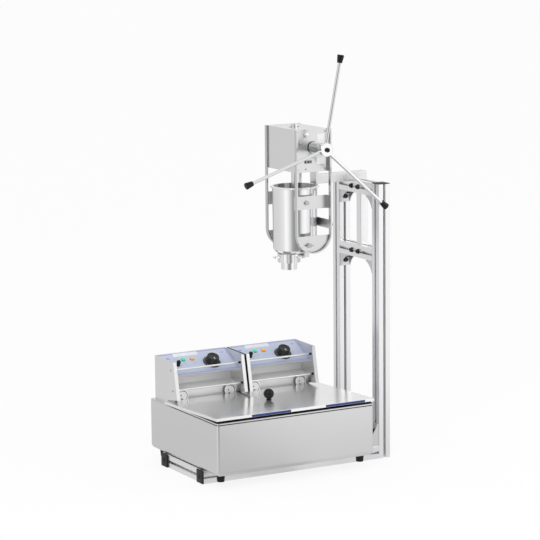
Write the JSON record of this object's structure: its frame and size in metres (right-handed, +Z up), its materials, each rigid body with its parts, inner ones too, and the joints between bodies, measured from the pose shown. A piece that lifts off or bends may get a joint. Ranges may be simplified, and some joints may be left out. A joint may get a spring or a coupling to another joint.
{
  "type": "churro maker",
  "caption": "Crank-driven churro press on a slotted aluminium stand over a twin electric deep fryer with a sliding lid.",
  "frame": {"origin": "on the floor, at the middle of the overall footprint", "axes": "+Z up, -Y towards the user at the fryer's front, +X towards the stand's posts"},
  "size_m": [0.655, 0.4451, 1.2566],
  "materials": {
    "profile": "anodised satin",
    "black_plastic": "fine grain",
    "cast_bracket": "die-cast, satin",
    "bolt_steel": "zinc plated",
    "stainless": "brushed",
    "brushed_stainless": "brushed along the width",
    "polished_stainless": "polished",
    "chrome": "bright",
    "black_bush": "black",
    "bronze": "machined",
    "gear_steel": "ground",
    "piston_metal": "turned",
    "seal_rubber": "food-safe, pale",
    "grip_plastic": "moulded, semi-gloss",
    "foot_rubber": "matt",
    "fascia_panel": "printed film, satin",
    "lamp_lens": "clear coloured lens",
    "element_steel": "heat-tinted"
  },
  "bodies": {
    "stand": {"front_rail": "profile", "rear_rail": "profile", "base_ties": "profile", "front_post": "profile", "rear_post": "profile", "crossbars": "profile", "crossbar_strut": "profile", "end_caps": "black_plastic", "corner_brackets": "cast_bracket", "frame_bolts": "bolt_steel", "machine_arm": "stainless", "mounting_plate": "stainless", "gearbox_casing": "polished_stainless", "gearbox_front_plate": "polished_stainless", "gearbox_rear_plate": "polished_stainless", "gearbox_screws": "bolt_steel", "shaft_bearings": "black_bush", "rack_guides": "bronze", "front_hoop": "polished_stainless", "rear_hoop": "polished_stainless", "cross_plates": "stainless", "cradle_plates": "stainless", "side_bar": "stainless", "clamp_screws": "bolt_steel", "cylinder_lugs": "stainless", "dough_cylinder": "polished_stainless", "star_nozzle": "polished_stainless", "fryer_housing": "brushed_stainless", "fryer_feet": "foot_rubber"},
    "crank": {"crank_shaft": "gear_steel", "drive_pinion": "gear_steel", "crank_hub": "chrome", "crank_arms": "chrome", "crank_grips": "grip_plastic", "crank_bolt": "black_plastic"},
    "rack": {"rack_rod": "gear_steel", "piston": "piston_metal", "piston_seal": "seal_rubber"},
    "nut": {"nozzle_nut": "polished_stainless"},
    "front_screw": {"front_wing_screw": "bolt_steel"},
    "rear_screw": {"rear_wing_screw": "bolt_steel"},
    "tank": {"frying_tank": "brushed_stainless", "left_head_casing": "stainless", "left_head_fascia": "fascia_panel", "left_recess_plate": "stainless", "left_lamps": "lamp_lens", "left_heating_element": "element_steel", "right_head_casing": "stainless", "right_head_fascia": "fascia_panel", "right_recess_plate": "stainless", "right_lamps": "lamp_lens", "right_heating_element": "element_steel"},
    "lid": {"tank_lid": "polished_stainless", "lid_knob": "grip_plastic", "lid_bumpers": "foot_rubber"},
    "left_knob": {"left_thermostat_knob": "grip_plastic"},
    "right_knob": {"right_thermostat_knob": "grip_plastic"},
    "left_button": {"left_reset_button": "black_plastic"},
    "right_button": {"right_reset_button": "black_plastic"}
  },
  "joints": [
    {"name": "crank_turn", "type": "hinge", "parent": "stand", "child": "crank", "pos_m": [0.084, -0.1566, 0.9756], "axis": [0, 1, 0], "range_deg": [0, 1036]},
    {"name": "rack_slide", "type": "slide", "parent": "stand", "child": "rack", "axis": [0, 0, 1], "range_m": [0, 0.19]},
    {"name": "nozzle_nut_turn", "type": "hinge", "parent": "stand", "child": "nut", "pos_m": [0.049, 0.0054, 0.632], "axis": [0, 0, 1], "range_deg": [0, 360]},
    {"name": "front_screw_turn", "type": "hinge", "parent": "stand", "child": "front_screw", "pos_m": [0.066, -0.0881, 0.68], "axis": [0, 1, 0], "range_deg": [0, 360]},
    {"name": "rear_screw_turn", "type": "hinge", "parent": "stand", "child": "rear_screw", "pos_m": [0.066, 0.0869, 0.68], "axis": [0, 1, 0], "range_deg": [0, 360]},
    {"name": "tank_lift", "type": "slide", "parent": "stand", "child": "tank", "axis": [0, 0, 1], "range_m": [0, 0.15]},
    {"name": "lid_slide", "type": "slide", "parent": "tank", "child": "lid", "axis": [0, -0.9993, 0.0366], "range_m": [0, 0.36]},
    {"name": "left_thermostat_turn", "type": "hinge", "parent": "tank", "child": "left_knob", "pos_m": [-0.1445, 0.153, 0.30191], "axis": [0, -0.4726, 0.8813], "range_deg": [-270, 0]},
    {"name": "left_button_press", "type": "slide", "parent": "tank", "child": "left_button", "axis": [0, 0.4726, -0.8813], "range_m": [0, 0.003], "stiffness_N_per_m": 300, "springref_m": -0.002},
    {"name": "right_thermostat_turn", "type": "hinge", "parent": "tank", "child": "right_knob", "pos_m": [0.107, 0.153, 0.30191], "axis": [0, -0.4726, 0.8813], "range_deg": [-270, 0]},
    {"name": "right_button_press", "type": "slide", "parent": "tank", "child": "right_button", "axis": [0, 0.4726, -0.8813], "range_m": [0, 0.003], "stiffness_N_per_m": 300, "springref_m": -0.002}
  ],
  "couplings": [
    {"joint": "rack_slide", "follows": "crank_turn", "m_per_rad": 0.0105}
  ]
}
